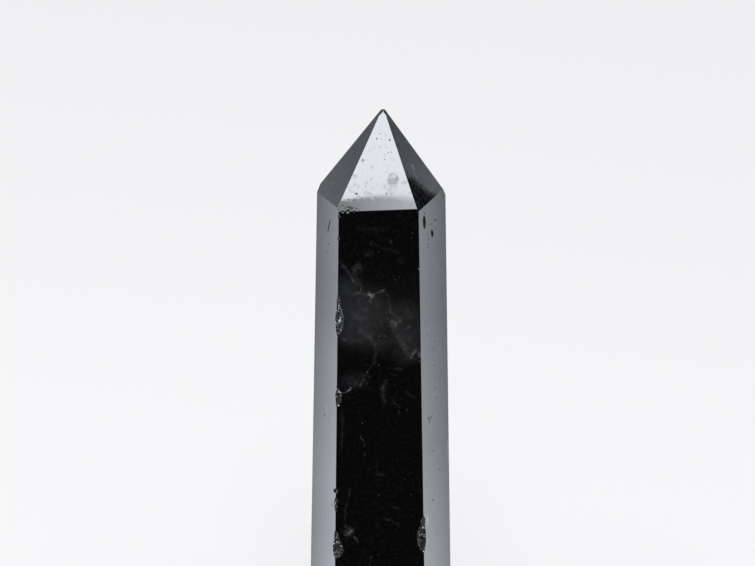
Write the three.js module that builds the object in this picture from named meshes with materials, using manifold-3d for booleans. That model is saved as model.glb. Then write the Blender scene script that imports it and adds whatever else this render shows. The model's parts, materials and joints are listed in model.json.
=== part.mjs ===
// A polished point of morion, the near-black kind of smoky quartz: one crystal, one solid.
// Six ground prism faces rise from a flat cut base, lean in a little, and are closed by six pyramid
// faces that meet in a slightly worn tip. Long edges carry shell-shaped chips, and faces small pits.
// Millimetres, +Z up. The broad front face looks along -Y. Azimuths turn from -Y towards +X.
import * as THREE from "three";
import { ConvexGeometry } from "three/addons/geometries/ConvexGeometry.js";
import { mergeVertices } from "three/addons/utils/BufferGeometryUtils.js";
import Module from "manifold-3d";

// Driving dimensions
const HEIGHT = 82; // base to the level where the pyramid faces would meet in one point
const TIP_WEAR = 0.35; // the worn tip stops this far below that point
const SHOULDER = 13; // depth below the point at which a prism face's distance is measured
const SCOOP_DETAIL = 3; // subdivisions of a chip's hollow
const PIT_DETAIL = 1; // subdivisions of a pit's hollow
const SCOOP_ROUGHNESS = 0.05; // how far a broken hollow departs from a smooth shell, as a share
const WELD = 1e-4; // vertices closer than this are one

// Each prism face: its azimuth, its distance from the axis at the shoulder, and how far it leans in.
const PRISM_FACES = {
  front: { azimuth: -1, distance: 7.25, lean: 0.85 },
  right_front: { azimuth: 64.5, distance: 7.3, lean: 1.4 },
  right_back: { azimuth: 118, distance: 7.4, lean: 0.7 },
  back: { azimuth: 181, distance: 7.3, lean: 1.0 },
  left_back: { azimuth: 240.5, distance: 7.0, lean: 1.3 },
  left_front: { azimuth: 296, distance: 8.3, lean: 1.1 },
};

// Each pyramid face: its azimuth and its slope from level.
const PYRAMID_FACES = {
  tip_front: { azimuth: -2.5, slope: 58.5 },
  tip_right_front: { azimuth: 60.5, slope: 57.5 },
  tip_right_back: { azimuth: 116.5, slope: 58 },
  tip_back: { azimuth: 182, slope: 56 },
  tip_left_back: { azimuth: 240.5, slope: 56 },
  tip_left_front: { azimuth: 298, slope: 54 },
};

// Shell-shaped chips. Each bites the edge between two faces, its middle `along` millimetres from the
// edge's upper end, or from its left end where the edge is level. `radius` is the hollow's radius
// across the edge, and `turn` swings it towards the first face, in degrees.
const EDGE_CHIPS = [
  // the left front edge, from the shoulder down
  { between: ["front", "left_front"], along: 0.6, length: 0.6, depth: 0.12, radius: 0.5, turn: 10 },
  { between: ["front", "left_front"], along: 3.6, length: 0.6, depth: 0.15, radius: 0.5, turn: -10 },
  { between: ["front", "left_front"], along: 12.3, length: 2.2, depth: 0.22, radius: 1.7, turn: 6 },
  { between: ["front", "left_front"], along: 14.8, length: 4.4, depth: 0.5, radius: 1.6, turn: 8 },
  { between: ["front", "left_front"], along: 25.4, length: 3.2, depth: 0.3, radius: 2.2, turn: 14 },
  { between: ["front", "left_front"], along: 38.8, length: 0.8, depth: 0.28, radius: 0.6, turn: -16 },
  { between: ["front", "left_front"], along: 40.1, length: 1.0, depth: 0.18, radius: 0.9, turn: 10 },
  { between: ["front", "left_front"], along: 41.2, length: 1.2, depth: 0.2, radius: 0.9, turn: -4 },
  { between: ["front", "left_front"], along: 45.5, length: 2.2, depth: 0.3, radius: 1.4, turn: 8 },
  { between: ["front", "left_front"], along: 47.1, length: 3.2, depth: 0.62, radius: 1.8, turn: 16 },
  { between: ["front", "left_front"], along: 60.5, length: 2.8, depth: 0.34, radius: 1.3, turn: -6 },
  // the right front edge
  { between: ["front", "right_front"], along: 7.7, length: 0.5, depth: 0.14, radius: 0.5, turn: 0 },
  { between: ["front", "right_front"], along: 43.4, length: 2.2, depth: 0.3, radius: 1.3, turn: -10 },
  { between: ["front", "right_front"], along: 45.6, length: 4.6, depth: 0.56, radius: 1.7, turn: 8 },
  { between: ["front", "right_front"], along: 63.0, length: 2.2, depth: 0.3, radius: 1.1, turn: 5 },
  // the side and back edges
  { between: ["left_front", "left_back"], along: 56.0, length: 3.2, depth: 0.36, radius: 1.3, turn: 0 },
  { between: ["right_front", "right_back"], along: 58.5, length: 2.6, depth: 0.3, radius: 1.2, turn: 8 },
  { between: ["right_back", "back"], along: 24.0, length: 4.4, depth: 0.42, radius: 1.5, turn: -8 },
  { between: ["right_back", "back"], along: 51.0, length: 2.2, depth: 0.26, radius: 1.1, turn: 6 },
  { between: ["back", "left_back"], along: 10.0, length: 1.6, depth: 0.2, radius: 0.9, turn: 0 },
  { between: ["back", "left_back"], along: 41.0, length: 4.8, depth: 0.46, radius: 1.6, turn: 10 },
  // nibbles along the shoulder, under the front and back pyramid faces
  { between: ["tip_front", "front"], along: 0.5, length: 0.5, depth: 0.1, radius: 0.45, turn: 0 },
  { between: ["tip_front", "front"], along: 1.15, length: 0.6, depth: 0.12, radius: 0.5, turn: 6 },
  { between: ["tip_front", "front"], along: 2.0, length: 0.45, depth: 0.07, radius: 0.4, turn: 0 },
  { between: ["tip_back", "back"], along: 5.2, length: 0.9, depth: 0.12, radius: 0.6, turn: 0 },
  // the rim of the cut base
  { between: ["front", "base"], along: 4.6, length: 2.6, depth: 0.36, radius: 1.2, turn: 0 },
  { between: ["right_back", "base"], along: 3.4, length: 2.0, depth: 0.3, radius: 1.0, turn: 6 },
  { between: ["left_back", "base"], along: 4.4, length: 3.0, depth: 0.42, radius: 1.4, turn: -8 },
];

// Pits: `below` the point, `across` from the face's middle line, positive to the right as seen from
// outside, then width, height, depth, and how far the pit's top leans to the left, in degrees.
const PITS = [
  { face: "right_front", below: 13.85, across: -2.97, width: 0.44, height: 1.75, depth: 0.2, lean: 9 },
  { face: "right_front", below: 16.05, across: -0.6, width: 0.4, height: 1.1, depth: 0.16, lean: 27 },
  { face: "right_front", below: 41.05, across: -2.85, width: 0.34, height: 1.3, depth: 0.14, lean: 45 },
  { face: "right_front", below: 17.1, across: -1.95, width: 0.26, height: 0.3, depth: 0.1, lean: 0 },
  { face: "left_front", below: 14.75, across: 1.05, width: 0.24, height: 2.2, depth: 0.1, lean: -20 },
  { face: "back", below: 30, across: 2.2, width: 0.4, height: 0.6, depth: 0.14, lean: 20 },
  { face: "left_back", below: 47, across: -1.6, width: 0.36, height: 0.9, depth: 0.14, lean: -15 },
];

const wasm = await Module();
wasm.setup();
const degrees = THREE.MathUtils.degToRad;

// The horizontal direction out of a face, from its azimuth.
function outward(azimuth) {
  const a = degrees(azimuth);
  return new THREE.Vector3(Math.sin(a), -Math.cos(a), 0);
}

// The ground planes, measured from the point at the origin. A plane holds p where normal . p = reach.
function groundPlanes() {
  const planes = {};
  for (const [name, { azimuth, distance, lean }] of Object.entries(PRISM_FACES)) {
    const out = outward(azimuth);
    const normal = out.clone().multiplyScalar(Math.cos(degrees(lean)));
    normal.z = Math.sin(degrees(lean));
    const on = out.clone().multiplyScalar(distance).setZ(-SHOULDER);
    planes[name] = { normal, reach: normal.dot(on) };
  }
  for (const [name, { azimuth, slope }] of Object.entries(PYRAMID_FACES)) {
    const normal = outward(azimuth).multiplyScalar(Math.sin(degrees(slope)));
    normal.z = Math.cos(degrees(slope));
    planes[name] = { normal, reach: 0 };
  }
  planes.worn_tip = { normal: new THREE.Vector3(0, 0, 1), reach: -TIP_WEAR };
  planes.base = { normal: new THREE.Vector3(0, 0, -1), reach: HEIGHT };
  return planes;
}

// The corner where three planes meet, or null where they don't.
function meet(a, b, c) {
  const normals = new THREE.Matrix3();
  normals.set(...a.normal.toArray(), ...b.normal.toArray(), ...c.normal.toArray());
  if (Math.abs(normals.determinant()) < 1e-6) return null;
  return new THREE.Vector3(a.reach, b.reach, c.reach).applyMatrix3(normals.invert());
}

// Every corner of the ground body, with the names of the planes that meet there.
function groundCorners(planes) {
  const names = Object.keys(planes);
  const inside = (p) => names.every((n) => planes[n].normal.dot(p) < planes[n].reach + WELD);
  const corners = [];
  for (let i = 0; i < names.length; i++) {
    for (let j = i + 1; j < names.length; j++) {
      for (let k = j + 1; k < names.length; k++) {
        const faces = [names[i], names[j], names[k]];
        const at = meet(...faces.map((n) => planes[n]));
        if (at && inside(at)) corners.push({ faces, at });
      }
    }
  }
  return corners;
}

// A closed three.js geometry as a solid that can be cut.
function solidOf(geometry) {
  const bare = geometry.clone();
  for (const extra of ["normal", "uv"]) bare.deleteAttribute(extra);
  const merged = mergeVertices(bare, WELD);
  return new wasm.Manifold(
    new wasm.Mesh({
      numProp: 3,
      vertProperties: new Float32Array(merged.attributes.position.array),
      triVerts: new Uint32Array(merged.index.array),
    }),
  );
}

// A solid back as a geometry.
function geometryOf(solid) {
  const mesh = solid.getMesh();
  const geometry = new THREE.BufferGeometry();
  geometry.setAttribute("position", new THREE.BufferAttribute(mesh.vertProperties, 3));
  geometry.setIndex(new THREE.BufferAttribute(mesh.triVerts, 1));
  return geometry;
}

// A broken hollow: a ball with soft lumps, stretched to three half sizes along three directions.
function hollow(detail, halves, directions, centre, roughness) {
  const ball = new THREE.IcosahedronGeometry(1, detail);
  const points = ball.attributes.position;
  const p = new THREE.Vector3();
  for (let i = 0; i < points.count; i++) {
    p.fromBufferAttribute(points, i);
    const lump = Math.sin(5.3 * p.x + 2.1 * centre.z) + Math.sin(4.7 * p.y - 1.3 * centre.z);
    p.multiplyScalar(1 + 0.5 * roughness * (lump + Math.sin(6.1 * p.z + centre.x)));
    points.setXYZ(i, p.x, p.y, p.z);
  }
  const frame = new THREE.Matrix4().makeBasis(...directions).setPosition(centre);
  ball.applyMatrix4(frame.multiply(new THREE.Matrix4().makeScale(...halves)));
  return solidOf(ball);
}

// A chip on the edge between two faces.
function edgeChip({ between, along, length, depth, radius, turn }, planes, corners) {
  const [first, second] = between.map((name) => planes[name].normal);
  const ends = corners.filter(({ faces }) => between.every((name) => faces.includes(name)));
  const [a, b] = ends.map(({ at }) => at);
  const level = Math.abs(a.z - b.z) < 1;
  const [start, end] = (level ? a.x < b.x : a.z > b.z) ? [a, b] : [b, a];
  const tangent = end.clone().sub(start).normalize();
  const out = first.clone().add(second).normalize();
  const swing = Math.sign(tangent.clone().cross(out).dot(first));
  out.applyAxisAngle(tangent, degrees(turn) * swing);
  const side = tangent.clone().cross(out).normalize();
  const centre = start.clone().addScaledVector(tangent, along).addScaledVector(out, radius - depth);
  // the hollow is drawn out along the edge so that it breaks the edge over the given length
  const reach = Math.sqrt(1 - ((radius - depth) / radius) ** 2);
  const halves = [length / 2 / reach, radius, radius];
  return hollow(SCOOP_DETAIL, halves, [tangent, out, side], centre, SCOOP_ROUGHNESS);
}

// A pit in a prism face.
function facePit({ face, below, across, width, height, depth, lean }, planes) {
  const { normal, reach } = planes[face];
  const side = new THREE.Vector3(0, 0, 1).cross(normal).normalize();
  const out = outward(PRISM_FACES[face].azimuth);
  const distance = (reach + normal.z * below) / normal.dot(out);
  const centre = out.multiplyScalar(distance).addScaledVector(side, across).setZ(-below);
  const turned = side.applyAxisAngle(normal, degrees(lean));
  const up = normal.clone().cross(turned);
  const halves = [width / 2, height / 2, depth];
  return hollow(PIT_DETAIL, halves, [turned, up, normal], centre, 0);
}

// The whole point, stood on its base with the middle of its footprint on the origin.
function quartzPoint() {
  const planes = groundPlanes();
  const corners = groundCorners(planes);
  const ground = new ConvexGeometry(corners.map(({ at }) => at));
  ground.computeBoundingBox();
  const middle = ground.boundingBox.getCenter(new THREE.Vector3());
  let solid = solidOf(ground);
  for (const chip of EDGE_CHIPS) solid = solid.subtract(edgeChip(chip, planes, corners));
  for (const pit of PITS) solid = solid.subtract(facePit(pit, planes));
  const geometry = geometryOf(solid).translate(-middle.x, -middle.y, HEIGHT).toNonIndexed();
  geometry.computeVertexNormals();
  return geometry;
}

const morion = new THREE.MeshStandardMaterial({ color: 0x16171a, roughness: 0.08, metalness: 0 });
const point = new THREE.Mesh(quartzPoint(), morion);
point.name = "quartz_point";

const group = new THREE.Group();
group.add(point);

export default group;
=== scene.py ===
# A polished point of morion, near-black smoky quartz, standing on a pale studio floor.
# The crystal is ground again from the same facet angles as its frame solid, with worn edges,
# shell-shaped chips, pits and specks cut in, and then polished by its materials.
# Lengths in the tables are millimetres. The mesh and the scene are in metres.
import json
import math
from collections import defaultdict, namedtuple
from itertools import combinations

import bmesh
import bpy
from mathutils import Matrix, Vector


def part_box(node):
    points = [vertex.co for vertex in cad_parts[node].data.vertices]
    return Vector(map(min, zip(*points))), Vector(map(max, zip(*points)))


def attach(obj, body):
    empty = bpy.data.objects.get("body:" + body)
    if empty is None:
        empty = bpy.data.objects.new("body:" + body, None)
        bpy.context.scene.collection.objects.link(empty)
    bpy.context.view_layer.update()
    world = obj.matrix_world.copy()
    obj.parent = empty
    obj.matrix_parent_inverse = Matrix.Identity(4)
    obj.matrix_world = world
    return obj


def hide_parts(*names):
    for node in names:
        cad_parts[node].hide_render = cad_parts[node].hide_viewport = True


bl_info = {
    "name": "Morion quartz point",
    "version": (1, 0, 0),
    "blender": (4, 5, 0),
    "location": "View3D > Sidebar > Quartz",
    "description": "A polished, chipped point of near-black quartz with its studio",
    "category": "Add Mesh",
}

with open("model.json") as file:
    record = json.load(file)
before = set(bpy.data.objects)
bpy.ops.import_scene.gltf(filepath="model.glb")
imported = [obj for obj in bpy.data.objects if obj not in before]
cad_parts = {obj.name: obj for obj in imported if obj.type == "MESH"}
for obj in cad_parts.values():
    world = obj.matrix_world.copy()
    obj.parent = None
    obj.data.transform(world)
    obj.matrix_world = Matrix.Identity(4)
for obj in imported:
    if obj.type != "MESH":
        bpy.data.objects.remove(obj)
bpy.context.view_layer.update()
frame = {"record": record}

MM = 0.001
NODE = "quartz_point"
SLOT = frame["record"]["materials"][0]["slot"]

# The ground faces, as in the frame solid. Azimuths are degrees from -Y towards +X. A prism face has
# its distance from the axis at the shoulder level and how far it leans in, a pyramid face its slope.
TIP_WEAR = 0.35
SHOULDER = 13.0
Prism = namedtuple("Prism", "azimuth distance lean")
Pyramid = namedtuple("Pyramid", "azimuth slope")
PRISM_FACES = {
    "front": Prism(-1.0, 7.25, 0.85),
    "right_front": Prism(64.5, 7.3, 1.4),
    "right_back": Prism(118.0, 7.4, 0.7),
    "back": Prism(181.0, 7.3, 1.0),
    "left_back": Prism(240.5, 7.0, 1.3),
    "left_front": Prism(296.0, 8.3, 1.1),
}
PYRAMID_FACES = {
    "tip_front": Pyramid(-2.5, 58.5),
    "tip_right_front": Pyramid(60.5, 57.5),
    "tip_right_back": Pyramid(116.5, 58.0),
    "tip_back": Pyramid(182.0, 56.0),
    "tip_left_back": Pyramid(240.5, 56.0),
    "tip_left_front": Pyramid(298.0, 54.0),
}
POINT_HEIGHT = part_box(NODE)[1].z / MM + TIP_WEAR
# Three faces whose directions are nearer to a plane than this have no corner.
PARALLEL = 1e-6
# How exactly a corner or a cut lies on its plane, in millimetres.
TOLERANCE = 1e-4

# Near the tip its two front edges are rubbed off: the direction and elevation that each rubbed strip
# faces, in degrees, and how far in it lies, in millimetres.
RUBS = {"rubbed_left": (-32.0, 47.0, 0.22), "rubbed_right": (29.0, 47.0, 0.22)}


def rows_of(kind, table):
    """Records of one kind, from rows of numbers listed under the names of their faces."""
    return [kind(*faces.split(), *row) for faces, rows in table.items() for row in rows]


# Shell-shaped chips, under their edge's two faces: how far along it the middle is, from its upper or
# left end, then length, depth, radius across the edge, and swing towards the first face in degrees.
Chip = namedtuple("Chip", "first second along length depth radius turn")
EDGE_CHIPS = rows_of(
    Chip,
    {
        "front left_front": [
            (0.6, 0.6, 0.12, 0.5, 10), (3.6, 0.6, 0.15, 0.5, -10), (12.3, 2.2, 0.22, 1.7, 6),
            (14.8, 4.4, 0.5, 1.6, 8), (25.4, 3.2, 0.3, 2.2, 14), (38.8, 0.8, 0.28, 0.6, -16),
            (40.1, 1.0, 0.18, 0.9, 10), (41.2, 1.2, 0.2, 0.9, -4), (45.5, 2.2, 0.3, 1.4, 8),
            (47.1, 3.2, 0.62, 1.8, 16), (60.5, 2.8, 0.34, 1.3, -6),
        ],
        "front right_front": [
            (7.7, 0.5, 0.14, 0.5, 0), (43.4, 2.2, 0.3, 1.3, -10), (45.6, 4.6, 0.56, 1.7, 8),
            (63.0, 2.2, 0.3, 1.1, 5),
        ],
        "left_front left_back": [(56.0, 3.2, 0.36, 1.3, 0)],
        "right_front right_back": [(58.5, 2.6, 0.3, 1.2, 8)],
        "right_back back": [(24.0, 4.4, 0.42, 1.5, -8), (51.0, 2.2, 0.26, 1.1, 6)],
        "back left_back": [(10.0, 1.6, 0.2, 0.9, 0), (41.0, 4.8, 0.46, 1.6, 10)],
        "tip_front front": [
            (0.5, 0.5, 0.1, 0.45, 0), (1.15, 0.6, 0.12, 0.5, 6), (2.0, 0.45, 0.07, 0.4, 0),
        ],
        "tip_back back": [(5.2, 0.9, 0.12, 0.6, 0)],
        "front base": [(4.6, 2.6, 0.36, 1.2, 0)],
        "right_back base": [(3.4, 2.0, 0.3, 1.0, 6)],
        "left_back base": [(4.4, 3.0, 0.42, 1.4, -8)],
    },
)

# Pits and scratches, under their face: depth below the point, place across the face, width, height,
# depth and lean to the left in degrees.
Pit = namedtuple("Pit", "face below across width height depth lean")
PITS = rows_of(
    Pit,
    {
        "right_front": [
            (13.85, -2.97, 0.86, 1.85, 0.2, 9), (16.05, -0.6, 0.7, 1.15, 0.16, 27),
            (41.15, -2.72, 0.14, 1.0, 0.07, 38), (41.3, -1.87, 0.14, 1.18, 0.07, -66),
            (41.76, -2.5, 0.14, 0.5, 0.07, -22), (17.1, -1.95, 0.26, 0.3, 0.1, 0),
        ],
        "left_front": [
            (14.75, 1.05, 0.24, 2.2, 0.1, -20), (50.97, 3.8, 0.8, 0.5, 0.2, 0),
            (52.57, 3.76, 0.25, 0.65, 0.1, 0), (53.29, 3.06, 0.15, 0.5, 0.06, 20),
        ],
        "back": [(30.0, 2.2, 0.4, 0.6, 0.14, 20)],
        "left_back": [(47.0, -1.6, 0.36, 0.9, 0.14, -15)],
    },
)

# Small dots of old pitting, under their face: depth below the point, place across it, and width.
Dot = namedtuple("Dot", "face below across width")
DOTS = rows_of(
    Dot,
    {
        "tip_front": [
            (3.67, -0.73, 0.2), (3.78, 0.96, 0.22), (3.05, -0.26, 0.14), (6.11, -2.45, 0.2),
            (9.96, -3.19, 0.24), (9.92, 0.7, 0.16), (5.17, 1.21, 0.14), (5.22, 0.79, 0.14),
            (6.03, 0.39, 0.12), (9.29, -1.1, 0.12), (8.82, -0.48, 0.1), (9.11, -2.06, 0.12),
            (11.63, -3.12, 0.2), (11.52, -3.51, 0.14), (11.81, -4.08, 0.22), (11.59, -4.6, 0.18),
            (11.31, -4.87, 0.14), (11.41, -4.35, 0.12), (11.8, -3.75, 0.16), (11.77, -2.79, 0.14),
            (4.64, -1.06, 0.1), (4.61, -0.28, 0.12), (4.62, 0.49, 0.1), (10.62, -4.19, 0.14),
        ],
        "right_front": [
            (12.7, -2.82, 0.28), (14.5, 0.4, 0.34), (14.7, -0.8, 0.2), (16.5, -1.83, 0.24),
            (17.55, -1.83, 0.22), (32.1, -0.52, 0.22), (34.4, -0.61, 0.24), (37.6, -0.5, 0.22),
            (39.1, -0.23, 0.24), (46.2, -1.3, 0.22), (49.6, 0.37, 0.24), (53.2, -1.79, 0.26),
        ],
        "left_front": [(17.2, 1.0, 0.24), (18.5, 0.45, 0.22), (41.3, 0.36, 0.26)],
    },
)

# Healed cracks that show as pale wisps just under the front face: how pale, how wide, and a path of
# places, each as depth below the point and distance across the face. The clouds are the broadest of
# them.
CLOUDS = [
    (0.0145, 3.2, (23.0, -4.3), (28.4, -4.0)),
    (0.012, 3.2, (24.6, -1.0), (29.2, -0.9)),
    (0.013, 3.2, (26.4, 2.9), (30.6, 3.4)),
]
VEILS = [
    # above the clouds
    (0.003, 0.5, (14.3, -3.3), (14.3, 0.57)), (0.007, 0.22, (14.6, -0.52), (15.05, -0.5)),
    (0.015, 0.4, (15.97, 1.12)), (0.006, 0.5, (16.24, -1.36)),
    (0.004, 0.28, (16.5, -0.88), (17.05, 1.05), (17.42, 2.27)),
    (0.008, 0.5, (17.96, -1.97), (17.44, -1.49)), (0.004, 0.7, (18.7, 2.45)),
    (0.008, 0.28, (20.75, 2.16)),
    # the long streak from the left edge to the bright knot, and its arms
    (0.009, 0.4, (18.88, -5.3), (19.38, -5.02), (20.15, -4.41), (20.65, -3.87)),
    (0.035, 0.3, (20.65, -3.9), (21.3, -3.8)), (0.016, 0.9, (19.87, -3.4), (19.53, -3.0)),
    (0.014, 0.2, (20.52, -3.37), (22.95, -2.22)),
    (0.02, 0.2, (21.1, -3.84), (22.69, -2.72), (23.59, -2.11)),
    (0.085, 0.5, (23.22, -1.7), (23.32, -1.29)), (0.019, 0.4, (23.03, -3.81), (23.22, -1.7)),
    (0.027, 0.24, (23.27, -1.29), (22.62, 0.34)), (0.027, 0.36, (23.41, -1.5), (24.23, -1.56)),
    (0.007, 0.25, (22.29, 0.34), (23.19, 0.58), (23.96, 0.83), (25.1, 1.1)),
    (0.016, 0.2, (25.04, 1.09), (25.59, 1.19)), (0.012, 0.36, (25.59, 1.19), (26.65, 2.29)),
    # knots and lines in the clouds
    (0.042, 0.75, (27.03, 1.36), (27.37, 1.62)), (0.027, 0.36, (26.98, 2.3)),
    (0.042, 0.36, (27.62, 3.41)), (0.019, 0.36, (25.23, 3.27)),
    (0.012, 0.9, (26.17, -3.45), (26.56, -2.59)), (0.014, 0.8, (25.26, -2.11)),
    (0.031, 0.36, (29.43, -4.94)), (0.01, 0.6, (28.17, -2.59), (29.08, -1.62), (29.99, -1.0)),
    (0.007, 0.3, (29.99, -1.0), (31.29, -0.88), (32.17, -0.98)),
    (0.014, 0.2, (32.17, -0.98), (32.73, -1.03)), (0.03, 0.16, (29.0, 0.34)),
    (0.012, 0.6, (28.15, 1.57), (29.58, 2.55), (30.48, 2.92), (31.65, 3.54)),
    (0.036, 0.29, (30.8, 4.5), (31.3, 4.03), (31.85, 3.91)), (0.048, 0.33, (31.16, 4.8), (31.64, 4.95)),
    (0.039, 0.25, (32.42, 5.0)),
    # below the clouds
    (0.013, 0.36, (33.5, 1.83), (33.44, 2.5)), (0.01, 0.18, (34.28, 1.65)), (0.024, 0.2, (33.9, -1.99)),
    (0.027, 0.28, (35.62, -2.86)), (0.03, 0.28, (35.49, -3.47)), (0.017, 0.24, (34.98, -3.47)),
    (0.009, 1.7, (35.33, -4.3), (35.04, -2.89)), (0.138, 0.24, (36.63, -4.42), (36.14, -4.05)),
    (0.033, 0.15, (36.63, -4.42), (36.89, -5.08), (36.95, -5.4)),
    (0.006, 0.22, (36.14, -4.05), (35.62, -2.86), (33.9, -1.99), (32.73, -1.03)),
    (0.009, 0.5, (35.2, 0.35), (36.25, 0.04), (37.18, 0.1), (38.1, 0.35)),
    (0.008, 0.28, (37.56, 1.22), (38.22, 1.71), (38.75, 2.33)), (0.027, 0.2, (39.01, 3.32)),
    (0.023, 0.2, (39.54, 2.27), (39.82, 2.25)), (0.006, 0.28, (36.64, 3.19), (37.42, 4.3)),
    (0.007, 0.36, (39.4, -5.2), (44.5, -5.25)), (0.023, 0.18, (43.03, -2.87), (43.57, -2.5)),
    (0.015, 0.18, (43.88, -2.26), (44.35, -2.26)), (0.015, 0.18, (45.44, -2.26), (45.84, -2.26)),
    (0.005, 0.2, (46.14, -0.69), (47.93, -0.61)), (0.009, 0.3, (48.46, -0.73), (48.53, 0.15)),
    (0.015, 0.21, (50.5, -4.21), (52.15, -4.5), (53.36, -4.85), (55.01, -4.92)),
    (0.021, 0.2, (53.17, 0.01)), (0.007, 0.24, (54.88, 0.28), (54.96, 0.85), (55.7, 2.38)),
    (0.008, 0.28, (53.0, 1.26), (53.3, 1.96)), (0.022, 0.5, (55.92, -4.86)),
    (0.034, 0.8, (56.88, -4.54), (56.58, -4.21)), (0.027, 0.2, (57.29, -4.86), (56.51, -4.17)),
    (0.027, 0.28, (57.57, -3.61), (58.1, -3.32)), (0.027, 0.2, (60.44, -1.52)),
    (0.008, 0.24, (59.96, 1.77)), (0.012, 0.33, (55.89, -0.47)),
]

# Pale wipes on the duller faces, and a painted glint on the right front face, given as the cracks are.
WIPES_AND_GLINT = {
    "tip_right_front": [
        (0.05, 0.35, (7.16, -0.38), (7.5, -0.39)),
        (0.03, 0.3, (8.21, -0.86), (8.49, -0.73)),
        (0.015, 0.4, (7.16, -0.38), (8.21, -0.86), (9.3, -0.85)),
    ],
    "right_front": [
        (0.07, 0.8, (47.0, 3.4), (49.3, 3.7)),
        # this row and the next are a painted glint by the top of the lower chip on the front right edge,
        # not a wipe
        (0.3, 0.25, (54.9, -3.55), (55.9, -3.5)),
        (0.05, 0.4, (55.2, -3.9), (56.3, -3.8)),
    ],
    "left_front": [(0.05, 0.5, (39.8, 0.63), (40.62, 1.13))],
}

# A touch mark on the front pyramid face: its place, its half sizes across, up and out, and the
# spacing of its fine ridges.
TOUCH_BELOW = 8.3
TOUCH_ACROSS = 1.5
TOUCH_HALVES = (0.85, 1.1, 0.5)
TOUCH_RIDGE = 0.26

# A crack or wipe given as one place is a spot this long.
SPOT_LENGTH = 0.03

QUARTZ_IOR = 1.544


def hex_linear(code):
    """An sRGB hex colour as linear red, green and blue."""
    channels = [int(code[i : i + 2], 16) / 255 for i in (1, 3, 5)]
    return tuple(c / 12.92 if c <= 0.04045 else ((c + 0.055) / 1.055) ** 2.4 for c in channels)


def fill(node, inputs):
    """Gives a node's inputs their values, or links them to the sockets that they come from."""
    for name, value in inputs.items():
        if isinstance(value, bpy.types.NodeSocket):
            node.id_data.links.new(value, node.inputs[name])
        else:
            node.inputs[name].default_value = value


def add(tree, kind, inputs=None, **settings):
    """Adds a node. settings are its own properties, inputs its sockets' values or what links to them."""
    node = tree.nodes.new(kind)
    for name, value in settings.items():
        setattr(node, name, value)
    fill(node, inputs or {})
    return node


def tree_of(*values):
    """The node tree that the first socket among some values is in."""
    return next(value.id_data for value in values if isinstance(value, bpy.types.NodeSocket))


def new_object(name, data):
    """An object in the scene."""
    item = bpy.data.objects.new(name, data)
    bpy.context.scene.collection.objects.link(item)
    return item


# The ground body


def outward(azimuth):
    """The level direction out of a face."""
    a = math.radians(azimuth)
    return Vector((math.sin(a), -math.cos(a), 0.0))


def leaning(azimuth, level, rise):
    """A direction out of a face with the given level and upward parts."""
    return outward(azimuth) * level + Vector((0, 0, rise))


def ground_planes():
    """Each face's outward normal, and its reach along it from the point, in millimetres."""
    planes = {}
    for name, face in PRISM_FACES.items():
        lean = math.radians(face.lean)
        normal = leaning(face.azimuth, math.cos(lean), math.sin(lean))
        on_face = outward(face.azimuth) * face.distance - Vector((0, 0, SHOULDER))
        planes[name] = (normal, normal.dot(on_face))
    for name, face in PYRAMID_FACES.items():
        slope = math.radians(face.slope)
        planes[name] = (leaning(face.azimuth, math.sin(slope), math.cos(slope)), 0.0)
    planes["worn_tip"] = (Vector((0, 0, 1)), -TIP_WEAR)
    for name, (azimuth, elevation, depth) in RUBS.items():
        rise = math.radians(elevation)
        planes[name] = (leaning(azimuth, math.cos(rise), math.sin(rise)), -depth)
    planes["base"] = (Vector((0, 0, -1)), POINT_HEIGHT)
    return planes


def ground_corners(planes):
    """Every corner of the ground body: the names of its three faces, and its place."""
    corners = {}
    for names in combinations(planes, 3):
        normals = Matrix([planes[name][0] for name in names])
        if abs(normals.determinant()) < PARALLEL:
            continue
        at = normals.inverted() @ Vector([planes[name][1] for name in names])
        if all(normal.dot(at) < reach + TOLERANCE for normal, reach in planes.values()):
            corners[names] = at
    return corners


PLANES = ground_planes()
CORNERS = ground_corners(PLANES)


def footprint_middle():
    """The middle of the ground body's box, seen from above."""
    xs = [at.x for at in CORNERS.values()]
    ys = [at.y for at in CORNERS.values()]
    return (min(xs) + max(xs)) / 2, (min(ys) + max(ys)) / 2


MIDDLE = footprint_middle()


def placed(at):
    """A place measured from the point in millimetres, in the frame's metres."""
    return Vector((at.x - MIDDLE[0], at.y - MIDDLE[1], at.z + POINT_HEIGHT)) * MM


def on_face(name, below, across):
    """A place on a face, with the directions across it and out of it."""
    normal, reach = PLANES[name]
    side = Vector((0, 0, 1)).cross(normal).normalized()
    out = outward((PRISM_FACES | PYRAMID_FACES)[name].azimuth)
    distance = (reach + normal.z * below) / normal.dot(out)
    return out * distance + side * across - Vector((0, 0, below)), side, normal


# The ground faces are split into cells this wide, in millimetres, so that each has few hollows in it.
CELL = 2.4
# The grid of cells reaches this far from the axis, in millimetres.
CELL_REACH = 12.0


def split_into_cells(bm):
    """Cuts a body, still in millimetres from the point, along the planes of a square grid."""
    spans = ((-CELL_REACH, CELL_REACH), (-CELL_REACH, CELL_REACH), (-POINT_HEIGHT, 0.0))
    for axis, (low, high) in enumerate(spans):
        direction = Vector([float(i == axis) for i in range(3)])
        for step in range(1, int((high - low) / CELL) + 1):
            place = direction * (low + step * CELL)
            everything = bm.verts[:] + bm.edges[:] + bm.faces[:]
            bmesh.ops.bisect_plane(bm, geom=everything, plane_co=place, plane_no=direction, dist=TOLERANCE)


def in_ring(verts, normal):
    """The corners of a face in their order round it."""
    centre = sum((vert.co for vert in verts), Vector()) / len(verts)
    sideways = normal.orthogonal().normalized()
    upward = normal.cross(sideways)

    def turn(vert):
        arm = vert.co - centre
        return math.atan2(arm.dot(upward), arm.dot(sideways))

    return sorted(verts, key=turn)


def as_mesh(bm, name):
    """A mesh with what was built, which is then let go."""
    mesh = bpy.data.meshes.new(name)
    bm.to_mesh(mesh)
    bm.free()
    return mesh


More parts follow.
